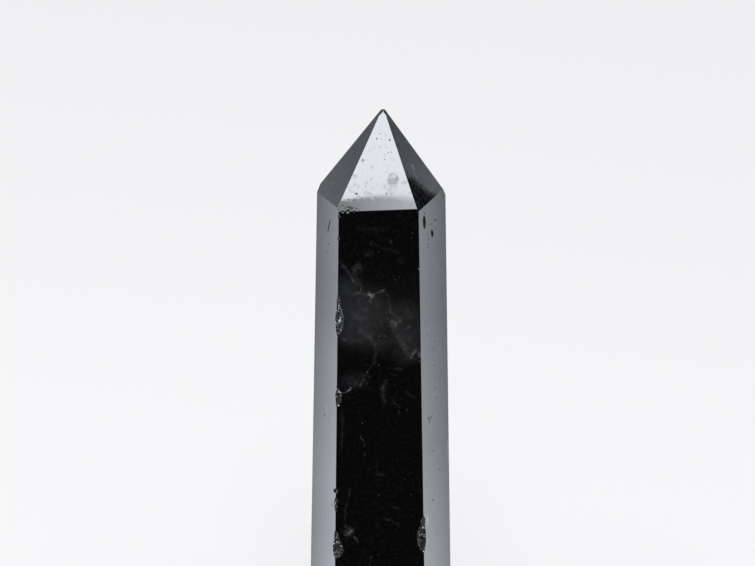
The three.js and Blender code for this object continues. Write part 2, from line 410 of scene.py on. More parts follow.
def ground_body(wear):
    """The ground crystal as one closed mesh in metres, its edges worn by a small bevel."""
    bm = bmesh.new()
    verts = {names: bm.verts.new(at) for names, at in CORNERS.items()}
    for name, (normal, _) in PLANES.items():
        bm.faces.new(in_ring([vert for names, vert in verts.items() if name in names], normal))
    bmesh.ops.bevel(
        bm,
        geom=list(bm.edges),
        offset=wear / MM,
        offset_type="OFFSET",
        segments=2,
        profile=0.5,
        affect="EDGES",
        clamp_overlap=True,
    )
    split_into_cells(bm)
    for vert in bm.verts:
        vert.co = placed(vert.co)
    return as_mesh(bm, "ground_body")


# Places for the hollows


Hollow = namedtuple("Hollow", "centre directions halves impact ripple broken")
# A chip at least this long is cut with a fine ball, in millimetres.
LARGE_CHIP = 1.9
# The blow that broke a chip: shares of its length towards the start, and of its depth outwards.
BLOW_ALONG = 0.32
BLOW_OUT = 0.2
# A chip at least this long has rings of the full height, in millimetres.
FULL_RIPPLE = 3.0
# A dot's depth as a share of its width.
DOT_DEPTH = 0.35


def chip_hollow(chip):
    """The ball that breaks one chip out of an edge, and the blow its ripples spread from."""
    first, second = PLANES[chip.first][0], PLANES[chip.second][0]
    ends = [at for names, at in CORNERS.items() if chip.first in names and chip.second in names]
    level = abs(ends[0].z - ends[1].z) < 1
    start, end = sorted(ends, key=lambda at: at.x if level else -at.z)
    tangent = (end - start).normalized()
    out = (first + second).normalized()
    swing = math.copysign(math.radians(chip.turn), tangent.cross(out).dot(first))
    out = Matrix.Rotation(swing if chip.turn > 0 else -swing, 3, tangent) @ out
    side = tangent.cross(out).normalized()
    on_edge = start + tangent * chip.along
    centre = on_edge + out * (chip.radius - chip.depth)
    reach = math.sqrt(1 - ((chip.radius - chip.depth) / chip.radius) ** 2)
    halves = (chip.length / 2 / reach, chip.radius, chip.radius)
    blow = on_edge - tangent * chip.length * BLOW_ALONG + out * chip.depth * BLOW_OUT
    return Hollow(centre, (tangent, out, side), halves, blow, min(1.0, chip.length / FULL_RIPPLE), 1.0)


def pit_hollow(pit):
    """The ball that leaves one pit in a face."""
    centre, side, normal = on_face(pit.face, pit.below, pit.across)
    turned = Matrix.Rotation(math.radians(pit.lean), 3, normal) @ side
    halves = (pit.width / 2, pit.height / 2, pit.depth)
    return Hollow(centre, (turned, normal.cross(turned), normal), halves, centre, 0.0, 0.0)


def dot_hollow(dot):
    """The ball that leaves one dot in a face, which is a small round pit."""
    return pit_hollow(Pit(*dot, dot.width, dot.width * DOT_DEPTH, 0))


def hollow_sites(name, hollows):
    """A bare object with a vertex for each hollow, which carries its turn, half sizes and blow."""
    mesh = bpy.data.meshes.new(name)
    mesh.from_pydata([placed(hollow.centre) for hollow in hollows], [], [])
    turns = [Matrix(hollow.directions).transposed().to_euler() for hollow in hollows]
    vectors = {
        "turned": [tuple(turn) for turn in turns],
        "halves": [tuple(half * MM for half in hollow.halves) for hollow in hollows],
        "impact": [tuple(placed(hollow.impact)) for hollow in hollows],
    }
    for key, values in vectors.items():
        layer = mesh.attributes.new(key, "FLOAT_VECTOR", "POINT")
        layer.data.foreach_set("vector", [x for value in values for x in value])
    for key in ("ripple", "broken"):
        layer = mesh.attributes.new(key, "FLOAT", "POINT")
        layer.data.foreach_set("value", [getattr(hollow, key) for hollow in hollows])
    return new_object(name, mesh)


def hollow_lots():
    """The hollows in named lots. Neighbours on one edge go to different lots, because they overlap."""
    lots = defaultdict(list)
    by_edge = defaultdict(list)
    for chip in EDGE_CHIPS:
        by_edge[chip.first, chip.second, chip.length >= LARGE_CHIP].append(chip)
    for (_, _, large), row in by_edge.items():
        size = "Large chips" if large else "Small chips"
        for i, chip in enumerate(sorted(row, key=lambda chip: chip.along)):
            lots[f"{size} {i % 2 + 1}"].append(chip_hollow(chip))
    lots["Pits"] = [pit_hollow(pit) for pit in PITS]
    lots["Dots"] = [dot_hollow(dot) for dot in DOTS]
    return lots


# How finely the balls of each lot are divided.
LOT_SUBDIVISIONS = {
    "Large chips 1": 6,
    "Large chips 2": 6,
    "Small chips 1": 4,
    "Small chips 2": 4,
    "Pits": 4,
    "Dots": 3,
}


# Geometry Nodes


# The trees' inputs that are numbers in the settings.
RING_LENGTHS = ("Ripple height", "Ripple spacing", "Lump height", "Lump size")
SPECK_NUMBERS = ("Speck size", "Speck spacing", "Speck density")
# The sums on vectors that give a number.
NUMBER_SUMS = ("DISTANCE", "DOT_PRODUCT", "LENGTH")


def new_tree(kind, name, sockets, result):
    """An empty node group, its named inputs, and its one output, of the same kind as the input
    with its name."""
    tree = bpy.data.node_groups.new(name, kind)
    for label, socket in sockets.items():
        tree.interface.new_socket(label, in_out="INPUT", socket_type="NodeSocket" + socket)
    tree.interface.new_socket(result, in_out="OUTPUT", socket_type="NodeSocket" + sockets[result])
    given = tree.nodes.new("NodeGroupInput").outputs
    return tree, given, tree.nodes.new("NodeGroupOutput").inputs[result]


def named(tree, name, data_type="FLOAT"):
    """A named attribute's value."""
    node = add(tree, "GeometryNodeInputNamedAttribute", {"Name": name}, data_type=data_type)
    return node.outputs["Attribute"]


def math_node(operation, a, b=0.0):
    """The result of a sum on two numbers."""
    return add(tree_of(a, b), "ShaderNodeMath", {0: a, 1: b}, operation=operation).outputs["Value"]


def plus(first, *others):
    """Numbers added together."""
    for other in others:
        first = math_node("ADD", first, other)
    return first


def times(first, *others):
    """Numbers multiplied together."""
    for other in others:
        first = math_node("MULTIPLY", first, other)
    return first


def minus(a, b):
    """One number less another."""
    return math_node("SUBTRACT", a, b)


def away_from(middle, value):
    """How far a number is from a middle one, either way."""
    return math_node("ABSOLUTE", minus(value, middle))


def vector_node(operation, *values):
    """The result of a sum on vectors. SCALE takes a vector and a number."""
    keys = (0, "Scale") if operation == "SCALE" else (0, 1, 2)
    inputs = dict(zip(keys, values))
    node = add(tree_of(*values), "ShaderNodeVectorMath", inputs, operation=operation)
    return node.outputs["Value" if operation in NUMBER_SUMS else "Vector"]


def part(vector, axis):
    """One of a vector's three numbers."""
    return add(tree_of(vector), "ShaderNodeSeparateXYZ", {0: vector}).outputs[axis]


def rippled_ball_offset(tree, given):
    """How far a ball's surface moves: soft lumps, and rings that spread from the blow."""
    place = add(tree, "GeometryNodeInputPosition").outputs["Position"]
    normal = add(tree, "GeometryNodeInputNormal").outputs["Normal"]
    arm = vector_node("DISTANCE", place, named(tree, "impact", "FLOAT_VECTOR"))
    rings = math_node("DIVIDE", arm, given["Ripple spacing"])
    wave = math_node("SINE", times(rings, 2 * math.pi))
    ripple = times(wave, given["Ripple height"], named(tree, "ripple"))
    per_metre = math_node("DIVIDE", 1.0, given["Lump size"])
    lumps = add(tree, "ShaderNodeTexNoise", {"Vector": place, "Scale": per_metre, "Detail": 3.0})
    centred = minus(lumps.outputs[0], 0.5)
    lump = times(centred, given["Lump height"], named(tree, "broken"))
    return vector_node("SCALE", normal, plus(ripple, lump))


def real_balls(tree, points, ball, rotation, scale):
    """A ball at each point, turned and scaled, as real mesh."""
    inputs = {"Points": points, "Instance": ball.outputs["Mesh"], "Rotation": rotation, "Scale": scale}
    balls = add(tree, "GeometryNodeInstanceOnPoints", inputs).outputs["Instances"]
    return add(tree, "GeometryNodeRealizeInstances", {"Geometry": balls}).outputs["Geometry"]


def cut_out(tree, body, balls, kind):
    """A body with balls cut out. The attribute "hollow" is 1 where a pit was cut, 2 where it broke."""
    marks = {"Geometry": balls, "Name": "hollow", "Value": kind}
    marked = add(tree, "GeometryNodeStoreNamedAttribute", marks, domain="FACE", data_type="FLOAT")
    both = {"Mesh 1": body, "Mesh 2": marked.outputs["Geometry"]}
    cut = add(tree, "GeometryNodeMeshBoolean", both, operation="DIFFERENCE", solver="MANIFOLD")
    return cut.outputs["Mesh"]


def cut_tree():
    """Geometry Nodes that cut one lot of hollows out of a body."""
    lengths = dict.fromkeys(RING_LENGTHS, "Float")
    sockets = {"Geometry": "Geometry", "Sites": "Object", "Subdivisions": "Int", **lengths}
    tree, given, out = new_tree("GeometryNodeTree", "Cut hollows", sockets, "Geometry")
    sites = add(tree, "GeometryNodeObjectInfo", {"Object": given["Sites"]}).outputs["Geometry"]
    ball = add(tree, "GeometryNodeMeshIcoSphere", {"Radius": 1.0, "Subdivisions": given["Subdivisions"]})
    turn = add(tree, "FunctionNodeEulerToRotation", {"Euler": named(tree, "turned", "FLOAT_VECTOR")})
    halves = named(tree, "halves", "FLOAT_VECTOR")
    balls = real_balls(tree, sites, ball, turn.outputs["Rotation"], halves)
    shell = {"Geometry": balls, "Offset": rippled_ball_offset(tree, given)}
    moved = add(tree, "GeometryNodeSetPosition", shell).outputs["Geometry"]
    kind = plus(named(tree, "broken"), 1.0)
    tree.links.new(cut_out(tree, given["Geometry"], moved, kind), out)
    return tree


def speck_balls(tree, given):
    """Small flattened balls scattered over the faces, a fixed least distance apart."""
    spread = {
        "Mesh": given["Geometry"],
        "Distance Min": given["Speck spacing"],
        "Density Max": given["Speck density"],
        "Seed": given["Seed"],
    }
    spots = add(tree, "GeometryNodeDistributePointsOnFaces", spread, distribute_method="POISSON").outputs
    grain = add(tree, "GeometryNodeMeshIcoSphere", {"Radius": given["Speck size"], "Subdivisions": 2})
    span = {2: 0.35, 3: 1.0, "Seed": given["Seed"]}
    share = add(tree, "FunctionNodeRandomValue", span, data_type="FLOAT").outputs[1]
    flat = add(tree, "ShaderNodeCombineXYZ", {0: share, 1: 1.0, 2: 0.6}).outputs[0]
    size = vector_node("SCALE", flat, share)
    return real_balls(tree, spots["Points"], grain, spots["Rotation"], size)


def damage_tree():
    """Geometry Nodes for all the damage: each lot of hollows in turn, then the specks."""
    sockets = {
        "Geometry": "Geometry",
        **dict.fromkeys(LOT_SUBDIVISIONS, "Object"),
        **dict.fromkeys(RING_LENGTHS + SPECK_NUMBERS, "Float"),
        "Seed": "Int",
        **dict.fromkeys(("Polished", "Pitted", "Broken"), "Material"),
    }
    tree, given, out = new_tree("GeometryNodeTree", "Chips, pits and specks", sockets, "Geometry")
    lengths = {key: given[key] for key in RING_LENGTHS}
    cutting = cut_tree()
    body = given["Geometry"]
    for lot, subdivisions in LOT_SUBDIVISIONS.items():
        inputs = {"Geometry": body, "Sites": given[lot], "Subdivisions": subdivisions, **lengths}
        body = add(tree, "GeometryNodeGroup", inputs, node_tree=cutting).outputs["Geometry"]
    cut = cut_out(tree, body, speck_balls(tree, given), 1.0)
    real = add(tree, "GeometryNodeRealizeInstances", {"Geometry": cut}).outputs["Geometry"]
    dressed = {"Geometry": real, "Material": given["Polished"]}
    finished = add(tree, "GeometryNodeSetMaterial", dressed).outputs["Geometry"]
    kind = named(tree, "hollow")
    for material, above in (("Pitted", 0.5), ("Broken", 1.5)):
        chosen = math_node("GREATER_THAN", kind, above)
        dressed = {"Geometry": finished, "Selection": chosen, "Material": given[material]}
        finished = add(tree, "GeometryNodeSetMaterial", dressed).outputs["Geometry"]
    tree.links.new(finished, out)
    return tree


def with_modifier(piece, tree, values):
    """The piece's mesh after a Geometry Nodes tree with the given inputs, the modifier taken off."""
    identifiers = {
        item.name: item.identifier
        for item in tree.interface.items_tree
        if item.item_type == "SOCKET" and item.in_out == "INPUT"
    }
    modifier = piece.modifiers.new(tree.name, "NODES")
    modifier.node_group = tree
    for name, value in values.items():
        modifier[identifiers[name]] = value
    graph = bpy.context.evaluated_depsgraph_get()
    mesh = bpy.data.meshes.new_from_object(
        piece.evaluated_get(graph), preserve_all_data_layers=True, depsgraph=graph
    )
    piece.modifiers.remove(modifier)
    while None in mesh.materials[:]:
        mesh.materials.pop(index=mesh.materials[:].index(None))
    return mesh


# The faces that were polished finely. The others kept a slightly duller polish.
FINE_FACES = ("front", "tip_front", "worn_tip", "rubbed_left", "rubbed_right")
# A polygon within this angle of a ground face is part of it, and a steeper edge is crisp, in degrees.
SAME_FACE = 0.6
CRISP_EDGE = 25


def face_of(polygon):
    """The name of the ground face that a polygon lies on, or None."""
    for name, (normal, _) in PLANES.items():
        if polygon.normal.dot(normal) > math.cos(math.radians(SAME_FACE)):
            return name
    return None


def flat_and_crisp(mesh):
    """Ground faces shade dead flat, hollows shade smooth, and rims and steep angles are crisp.
    The ground faces with a duller polish are marked in the attribute "dull"."""
    mesh.shade_smooth()
    mesh.set_sharp_from_angle(angle=math.radians(CRISP_EDGE))
    faces = [face_of(polygon) for polygon in mesh.polygons]
    beside = defaultdict(set)
    for polygon, face in zip(mesh.polygons, faces):
        for corner in polygon.loop_indices:
            beside[mesh.loops[corner].edge_index].add(face)
    sharp = mesh.attributes["sharp_edge"].data
    for edge, names in beside.items():
        if len(names) > 1:
            sharp[edge].value = True
    normals = [corner.vector.copy() for corner in mesh.corner_normals]
    for polygon, face in zip(mesh.polygons, faces):
        if face:
            for corner in polygon.loop_indices:
                normals[corner] = PLANES[face][0]
    dull = [float(face is not None and face not in FINE_FACES) for face in faces]
    mesh.attributes.new("dull", "FLOAT", "FACE").data.foreach_set("value", dull)
    mesh.normals_split_custom_set(normals)


# Materials


def node_material(name):
    """A material that is made of nodes, and its tree."""
    material = bpy.data.materials.new(name)
    material.use_nodes = True
    return material, material.node_tree


def new_material(name):
    """A material with a Principled shader for quartz, its tree and its place in millimetres."""
    material, tree = node_material(name)
    shader = tree.nodes["Principled BSDF"]
    shader.inputs["IOR"].default_value = QUARTZ_IOR
    place = add(tree, "ShaderNodeTexCoord").outputs["Object"]
    return material, tree, shader, vector_node("SCALE", place, 1 / MM)


def noise(place, size, detail=2.0, roughness=0.5):
    """Noise with lumps of a size in millimetres, from 0 to 1."""
    inputs = {"Vector": place, "Scale": 1 / size, "Detail": detail, "Roughness": roughness}
    return add(tree_of(place), "ShaderNodeTexNoise", inputs).outputs["Fac"]


def grains_of(place, size):
    """The outputs of a pattern of separate grains of a size in millimetres."""
    inputs = {"Vector": place, "Scale": 1 / size}
    return add(tree_of(place), "ShaderNodeTexVoronoi", inputs, feature="F1").outputs


def ramp(value, low, high, to_low=0.0, to_high=1.0, smooth=True):
    """A value mapped from one range to another and held there."""
    inputs = {"Value": value, "From Min": low, "From Max": high, "To Min": to_low, "To Max": to_high}
    kind = "SMOOTHSTEP" if smooth else "LINEAR"
    return add(tree_of(value), "ShaderNodeMapRange", inputs, interpolation_type=kind).outputs["Result"]


def mix_colour(share, first, second):
    """A mix of two colours."""
    sides = [side if isinstance(side, bpy.types.NodeSocket) else (*side, 1.0) for side in (first, second)]
    inputs = {0: share, 6: sides[0], 7: sides[1]}
    return add(tree_of(share), "ShaderNodeMix", inputs, data_type="RGBA").outputs[2]


def streak_group():
    """A shader group: how pale a streak is. It is palest on the line between its two ends."""
    sockets = {**dict.fromkeys(("Place", "Start", "End"), "Vector"), "Width": "Float", "Paleness": "Float"}
    tree, given, out = new_tree("ShaderNodeTree", "Veil streak", sockets, "Paleness")
    arm = vector_node("SUBTRACT", given["Place"], given["Start"])
    whole = vector_node("SUBTRACT", given["End"], given["Start"])
    reach = vector_node("DOT_PRODUCT", arm, whole)
    along = math_node("DIVIDE", reach, vector_node("DOT_PRODUCT", whole, whole))
    held = add(tree, "ShaderNodeClamp", {"Value": along}).outputs["Result"]
    gap = vector_node("DISTANCE", arm, vector_node("SCALE", whole, held))
    near = minus(1.0, math_node("DIVIDE", gap, given["Width"]))
    tree.links.new(times(ramp(near, 0.0, 1.0), given["Paleness"]), out)
    return tree


def face_vector(name, below, across):
    """A place on a face in the frame's millimetres."""
    return placed(on_face(name, below, across)[0]) / MM


def summed_paleness(tree, place, group, face, veils):
    """The paleness of all the veils of a face together."""
    total = 0.0
    for paleness, width, *path in veils:
        if len(path) == 1:
            path.append((path[0][0] + SPOT_LENGTH, path[0][1]))
        for start, end in zip(path, path[1:]):
            ends = {"Start": face_vector(face, *start), "End": face_vector(face, *end)}
            inputs = {"Place": place, **ends, "Width": width, "Paleness": paleness}
            node = add(tree, "ShaderNodeGroup", inputs, node_tree=group)
            total = plus(node.outputs["Paleness"], total)
    return total


def veil_and_glint_paleness(tree, place):
    """How pale the healed cracks and clouds make the front face, bent and broken up by noise, with pale
    wipes and a painted glint on other faces added.
    """
    bend = add(tree, "ShaderNodeTexNoise", {"Vector": place, "Scale": 1 / 0.9, "Detail": 5.0})
    shift = vector_node("SUBTRACT", bend.outputs["Color"], (0.5, 0.5, 0.5))
    bent = vector_node("MULTIPLY_ADD", shift, (0.8, 0.8, 0.8), place)
    streak = streak_group()
    lines = summed_paleness(tree, bent, streak, "front", VEILS)
    clouds = summed_paleness(tree, place, streak, "front", CLOUDS)
    # lines break up into grains, and clouds into soft wisps with fine threads through them
    grains = ramp(noise(place, 0.26, 4.0, 0.75), 0.36, 0.66, 0.2, 1.9)
    wisps = ramp(noise(place, 1.8, 5.0, 0.62), 0.3, 0.7, 0.62, 1.3)
    fold = away_from(0.5, noise(place, 1.3, 4.0))
    wisps = times(wisps, ramp(fold, 0.0, 0.035, 1.55, 1.0))
    total = plus(times(lines, grains), times(clouds, wisps))
    # they are only in the first millimetres behind the front face
    front = face_vector("front", 40.0, 0.0).y
    shallow = ramp(part(place, "Y"), front + 1.5, front + 3.0, 1.0, 0.0)
    total = times(total, shallow)
    # pale wipes on the duller faces, and the painted glint on the right front face
    for face, veils in WIPES_AND_GLINT.items():
        wipes_and_glint = summed_paleness(tree, place, streak, face, veils)
        total = plus(total, times(wipes_and_glint, grains))
    return total


def touch_ridges(tree, place):
    """Fine oval ridges of grease in a touch mark on the front pyramid face, from 0 to 1."""
    middle, side, normal = on_face("tip_front", TOUCH_BELOW, TOUCH_ACROSS)
    arm = vector_node("SUBTRACT", place, placed(middle) / MM)
    directions = zip((side, normal.cross(side), normal), TOUCH_HALVES)
    parts = [vector_node("DOT_PRODUCT", arm, tuple(way / half)) for way, half in directions]
    oval = add(tree, "ShaderNodeCombineXYZ", dict(enumerate(parts))).outputs[0]
    # the ridges arch about a place low in the mark
    arch = vector_node("LENGTH", vector_node("ADD", oval, (0.1, 0.6, 0.0)))
    bent = plus(arch, times(noise(place, 0.9), 0.8))
    turns = 2 * math.pi * TOUCH_HALVES[0] / TOUCH_RIDGE
    ridges = ramp(math_node("SINE", times(bent, turns)), -1.0, 1.0, 0.55, 1.0)
    patchy = ramp(noise(place, 0.7, 3.0), 0.35, 0.6, 0.35, 1.0)
    inside = ramp(vector_node("LENGTH", oval), 0.6, 1.15, 1.0, 0.0)
    return times(ridges, times(inside, patchy))


def bump(height, depth, **normal):
    """A bump whose height of 1 stands for a depth in metres, over another normal if one is given."""
    inputs = {"Height": height, "Distance": depth, "Strength": 1.0, **normal}
    return add(tree_of(height), "ShaderNodeBump", inputs).outputs["Normal"]


def polished_morion(settings):
    """Morion, near-black quartz, ground flat and polished on felt: it reads as black glass.
    The eye gets almost all its light from the mirror of the room, with pale healed cracks and
    clouds just under the front face, a faint wave in the polish, and a touch mark near the tip."""
    material, tree, shader, place = new_material("polished_morion")
    dull = add(tree, "ShaderNodeAttribute", attribute_name="dull").outputs["Fac"]
    # the cracks and clouds lie just under the skin, so they are painted as colour, together with a painted
    # glint on the right front face
    veiled_and_glint = mix_colour(veil_and_glint_paleness(tree, place), settings.morion_colour, settings.pale_veil_and_glint_colour)
    # thin veils in the other faces: where a noise crosses its middle value
    thin = away_from(0.5, noise(place, 5.0, 4.0))
    line = ramp(thin, 0.0, 0.008, 1.0, 0.0)
    region = ramp(noise(place, 9.0, 1.0), 0.6, 0.72)
    faint = times(line, region, dull, 0.03)
    # wiping marks that a cloth leaves on the duller faces, and dust and motes on all
    drawn = vector_node("MULTIPLY", place, (1.0, 1.0, 0.35))
    wiping = ramp(noise(drawn, 0.5, 5.0, 0.7), 0.35, 0.75)
    wiped = times(wiping, times(dull, 0.022))
    dust = ramp(noise(place, 0.3, 3.0, 0.7), 0.46, 0.78, 0.0, 0.007)
    lint = grains_of(place, 1.1)
    motes = ramp(lint["Distance"], 0.03, 0.08, 1.0, 0.0)
    some = ramp(part(lint["Color"], "X"), 0.4, 1.0)
    dust = plus(dust, times(motes, some, 0.16))
    over = plus(faint, plus(wiped, dust))
    # felt-polished quartz is close to a mirror, a little blurred by skin grease here and there
    grease = ramp(noise(place, 1.2, 5.0, 0.7), 0.45, 0.7)
    most = minus(0.04, times(dull, 0.015))
    blur = plus(times(grease, most), 0.015)
    # the front pyramid face was handled most: smudges, and the touch mark
    shoulder = POINT_HEIGHT - SHOULDER
    handled = ramp(part(place, "Z"), shoulder + 2.0, shoulder + 3.4)
    handled = times(handled, minus(1.0, dull))
    smudges = ramp(noise(place, 0.9, 3.0), 0.5, 0.8, 0.0, 0.25)
    smudges = plus(smudges, times(touch_ridges(tree, place), 0.42))
    # a wave in the polish 8 mm long and some thousandths of a millimetre high
    waved = bump(noise(place, 8.0, 1.0), settings.polish_wave)
    # the duller faces keep fine drag marks, up and down
    dragged = times(noise(drawn, 0.4, 4.0, 0.6), dull)
    finish = {
        "Base Color": mix_colour(over, veiled_and_glint, settings.pale_veil_and_glint_colour),
        "Roughness": plus(blur, times(smudges, handled)),
        "Normal": bump(dragged, settings.polish_wave * 1.2, Normal=waved),
    }
    fill(shader, finish)
    return material


def pitted_morion(settings):
    """The inside of a pit or dot: never polished, and full of dark polishing mud."""
    material, _, shader, _ = new_material("mud_filled_pit")
    colour = (*settings.morion_colour, 1.0)
    fill(shader, {"Base Color": colour, "Roughness": 0.8, "Specular IOR Level": 0.12})
    return material


def fractured_quartz(settings):
    """The same quartz where it broke: shell-shaped and glassy, with ribs and crushed flecks that glitter,
    because a fresh break is never polished. The white of the crushed flecks is partly real crushed quartz
    and partly painted glints."""
    material, tree, shader, place = new_material("fractured_quartz")
    patches = noise(place, 1.1, 3.0)
    # white crushed flecks: partly real crushed quartz, partly painted glints
    crushed = ramp(patches, 0.48, 0.62)
    fine = ramp(noise(place, 0.3, 3.0, 0.6), 0.57, 0.61)
    share = times(crushed, fine)
    # small flat flakes, each with its own tilt, glint out of the dark
    flakes = grains_of(place, 0.24)
    tilt = vector_node("SUBTRACT", flakes["Color"], (0.5, 0.5, 0.5))
    swing = vector_node("SCALE", tilt, ramp(patches, 0.44, 0.58, 0.45, 1.8))
    own = add(tree, "ShaderNodeNewGeometry").outputs["Normal"]
    facing = vector_node("NORMALIZE", vector_node("ADD", swing, own))
    finish = {
        "Base Color": mix_colour(share, settings.break_colour, settings.crushed_and_glint_colour),
        "Roughness": 0.1,
        "Specular IOR Level": 0.22,
        "Normal": bump(noise(place, 0.4, 4.0, 0.65), 0.08 * MM, Normal=facing),
    }
    fill(shader, finish)
    return material


# Settings


def hex_property(name, description, code):
    """A colour setting with an sRGB hex default."""
    return bpy.props.FloatVectorProperty(
        name=name, description=description, subtype="COLOR", size=3, min=0, max=1, default=hex_linear(code)
    )


def length_property(name, description, millimetres):
    """A length setting with a default in millimetres."""
    return bpy.props.FloatProperty(
        name=name, description=description, default=millimetres * MM, min=0, unit="LENGTH", precision=6
    )


class QuartzPointSettings(bpy.types.PropertyGroup):
    """Sizes and colours of the crystal."""

    edge_wear: length_property("Edge wear", "Width of the worn strip along each edge", 0.03)
    ripple_height: length_property("Ripple height", "Height of the rings in a chip", 0.012)
    ripple_spacing: length_property("Ripple spacing", "Distance between the rings in a chip", 0.42)
    lump_height: length_property("Lump height", "How far a chip departs from a smooth shell", 0.22)
    lump_size: length_property("Lump size", "Size of the lumps in a chip", 0.9)
    speck_size: length_property("Speck size", "Radius of the largest small pit", 0.085)
    speck_spacing: length_property("Speck spacing", "Least distance between small pits", 1.1)
    polish_wave: length_property("Polish wave", "Height of the wave left by polishing", 0.0025)
    speck_density: bpy.props.FloatProperty(
        name="Speck density", description="Small pits for each square metre at most", default=90000.0
    )
    seed: bpy.props.IntProperty(name="Seed", description="Seed of the scattered pits", default=11)
    morion_colour: hex_property("Morion", "Body colour of near-black quartz", "#040405")
    # also the colour of the painted glint on the right front face
    pale_veil_and_glint_colour: hex_property("Veil", "Healed cracks", "#f2f6fb")
    break_colour: hex_property("Break", "Glassy broken quartz", "#0d0f11")
    # white of crushed quartz, also standing in for painted glints in the chips
    crushed_and_glint_colour: hex_property("Crushed", "Crushed flecks in a break", "#e4e8ea")


class QuartzStageSettings(bpy.types.PropertyGroup):
    """Floor, light and camera."""

    floor_colour: hex_property("Floor", "Pale studio floor", "#f6f6f7")
    sky_colour: hex_property("Room", "Soft light of the room", "#f4f4f5")
    camera_distance: length_property("Camera distance", "From the camera to what it looks at", 347.8)
    camera_elevation: bpy.props.FloatProperty(
        name="Camera elevation",
        description="How far the camera looks down",
        subtype="ANGLE",
        default=math.radians(19),
    )
    camera_lens: bpy.props.FloatProperty(
        name="Lens", description="Focal length of the lens", unit="CAMERA", default=125.0
    )


# A crystal with fewer faces than this has lost its hollows.
FEWEST_FACES = 5000


class QUARTZ_OT_point(bpy.types.Operator):
    """Grind, chip and polish the quartz point"""

    bl_idname = "quartz.point"
    bl_label = "Quartz point"
    bl_options = {"REGISTER", "UNDO"}

    def execute(self, context):
        settings = context.scene.quartz_point
        piece = new_object("polished_point", ground_body(settings.edge_wear))
        sites = {name: hollow_sites(name, lot) for name, lot in hollow_lots().items()}
        materials = {
            "Polished": polished_morion(settings),
            "Pitted": pitted_morion(settings),
            "Broken": fractured_quartz(settings),
        }
        labels = (*RING_LENGTHS, *SPECK_NUMBERS, "Seed")
        numbers = {label: getattr(settings, label.lower().replace(" ", "_")) for label in labels}
        mesh = with_modifier(piece, damage_tree(), {**sites, **numbers, **materials})
        if len(mesh.polygons) < FEWEST_FACES:
            raise RuntimeError(f"the cut crystal has only {len(mesh.polygons)} faces")
        flat_and_crisp(mesh)
        mesh.name = "polished_point"
        piece.data = mesh
        for lot in sites.values():
            bpy.data.objects.remove(lot)
        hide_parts(NODE)
        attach(piece, "root")
        return {"FINISHED"}


# The stage


# The key light's ball, and the ring and height of the side walls, in millimetres.
KEY_RADIUS = 120.0
WALL_RADIUS = 45.0
WALL_HEIGHT = 130.0


def sheet_patch(name, place, across, up, steps):
    """A curved card: place(u, v) gives a point for each u in across and v in up. Its UV map holds u, v."""
    mesh = bpy.data.meshes.new(name)
    us = [across[0] + (across[1] - across[0]) * i / steps for i in range(steps + 1)]
    vs = [up[0] + (up[1] - up[0]) * i / steps for i in range(steps + 1)]
    verts = [place(u, v) for v in vs for u in us]
    row = steps + 1
    faces = [
        (j * row + i, j * row + i + 1, (j + 1) * row + i + 1, (j + 1) * row + i)
        for j in range(steps)
        for i in range(steps)
    ]
    mesh.from_pydata(verts, [], faces)
    layer = mesh.uv_layers.new(name="UVMap")
    for loop in mesh.loops:
        layer.data[loop.index].uv = (us[loop.vertex_index % row], vs[loop.vertex_index // row])
    return mesh


def card(name, place, across, up, steps, material):
    """A card that only mirror-like surfaces see, such as a studio's reflector outside the picture."""
    mesh = sheet_patch(name, place, across, up, steps)
    mesh.materials.append(material)
    item = new_object(name, mesh)
    for ray in ("camera", "diffuse", "shadow", "transmission", "volume_scatter"):
        setattr(item, "visible_" + ray, False)


def glow_material(name):
    """A material of plain glow, its tree, its glowing node and its UV map's numbers."""
    material, tree = node_material(name)
    tree.nodes.clear()
    glow = add(tree, "ShaderNodeEmission")
    add(tree, "ShaderNodeOutputMaterial", {"Surface": glow.outputs[0]})
    uv = add(tree, "ShaderNodeUVMap", uv_map="UVMap").outputs["UV"]
    return material, tree, glow, add(tree, "ShaderNodeSeparateXYZ", {0: uv}).outputs


def key_glow():
    """The large soft light in front and above: bright, with a dimmer skirt under an arched edge."""
    material, tree, glow, (azimuth, elevation, _) = glow_material("key_glow")
    arm = plus(azimuth, 4.5)
    edge = minus(40.33, times(arm, arm, 0.0224))
    above = minus(elevation, edge)
    bright = ramp(above, 0.0, 2.5, 16.8, 17.9)
    skirt = ramp(azimuth, -10.0, -2.0, 4.3, 9.9, smooth=False)
    skirt = times(skirt, ramp(elevation, 34.0, 38.4))
    # the edge is sharp on the left and soft on the right
    half = ramp(azimuth, -7.0, -2.0, 0.1, 0.5)
    share = ramp(math_node("DIVIDE", above, half), -1.0, 1.0)
    both = add(tree, "ShaderNodeMix", {0: share, 2: skirt, 3: bright}, data_type="FLOAT")
    fill(glow, {"Strength": both.outputs[0], "Color": (0.9, 0.945, 1.0, 1.0)})
    return material


